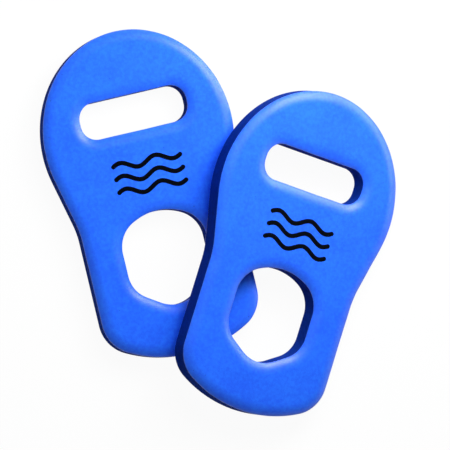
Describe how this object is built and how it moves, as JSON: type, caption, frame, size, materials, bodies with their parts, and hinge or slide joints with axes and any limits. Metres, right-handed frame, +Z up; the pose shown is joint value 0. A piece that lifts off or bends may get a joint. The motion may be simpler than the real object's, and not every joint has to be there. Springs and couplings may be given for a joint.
{
  "type": "kickboard float",
  "caption": "Flat foam kickboard floats with a rounded head, finger slot, forearm hole and softly rolled edges, laid so that the upper float leans on the lower one.",
  "frame": {"origin": "on the floor, at the middle of the lower float's grip web (between its finger slot and its forearm hole), on its flat back face", "axes": "+Y from the grip web to the middle of the lower float's head, +Z up from the floor through the slab, +X to the side where the upper float lies"},
  "size_m": [0.3387, 0.4114, 0.072],
  "materials": {
    "lower_float_foam": "matt closed-cell EVA foam, bright blue",
    "upper_float_foam": "matt closed-cell EVA foam, bright blue"
  },
  "bodies": {
    "lower_float": {"lower_float": "lower_float_foam"},
    "upper_float": {"upper_float": "upper_float_foam"}
  },
  "joints": [
    {"name": "upper_float_lift", "type": "slide", "parent": "lower_float", "child": "upper_float", "axis": [0, 0, 1], "range_m": [0, 0.15]}
  ]
}
